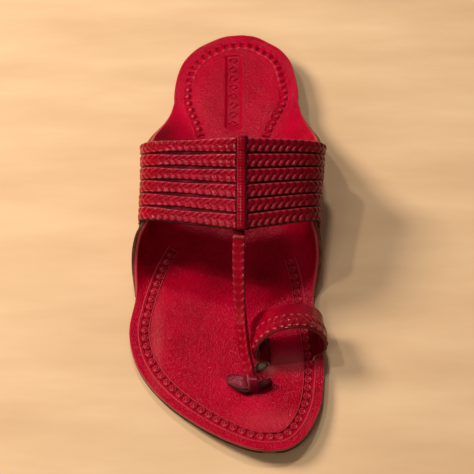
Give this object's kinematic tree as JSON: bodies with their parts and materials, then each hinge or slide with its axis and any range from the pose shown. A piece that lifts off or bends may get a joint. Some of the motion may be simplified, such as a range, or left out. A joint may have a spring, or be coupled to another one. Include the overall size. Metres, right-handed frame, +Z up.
{
  "type": "kolhapuri sandal",
  "caption": "Flat leather sandal for the right foot with braided instep band, toe strap and big-toe loop, on a low stacked heel.",
  "frame": {"origin": "on the floor, under the middle of the sandal's bounding box", "axes": "+Z up, -Y from the heel toward the toes, +X toward the big toe side of the right foot"},
  "size_m": [0.1094, 0.28, 0.0658],
  "materials": {
    "sole_leather": "burnished dark brown-red edge",
    "footbed_leather": "satin crimson, fine pebbled grain",
    "braided_leather": "satin to glossy crimson braid",
    "tie_leather": "dark red with raw brown cut edges"
  },
  "bodies": {
    "root": {"outsole": "sole_leather", "heel_lift": "sole_leather", "insole": "footbed_leather", "ear_lateral": "footbed_leather", "ear_medial": "footbed_leather", "upper": "braided_leather", "toe_loop": "braided_leather", "toe_knot": "tie_leather"}
  },
  "joints": []
}
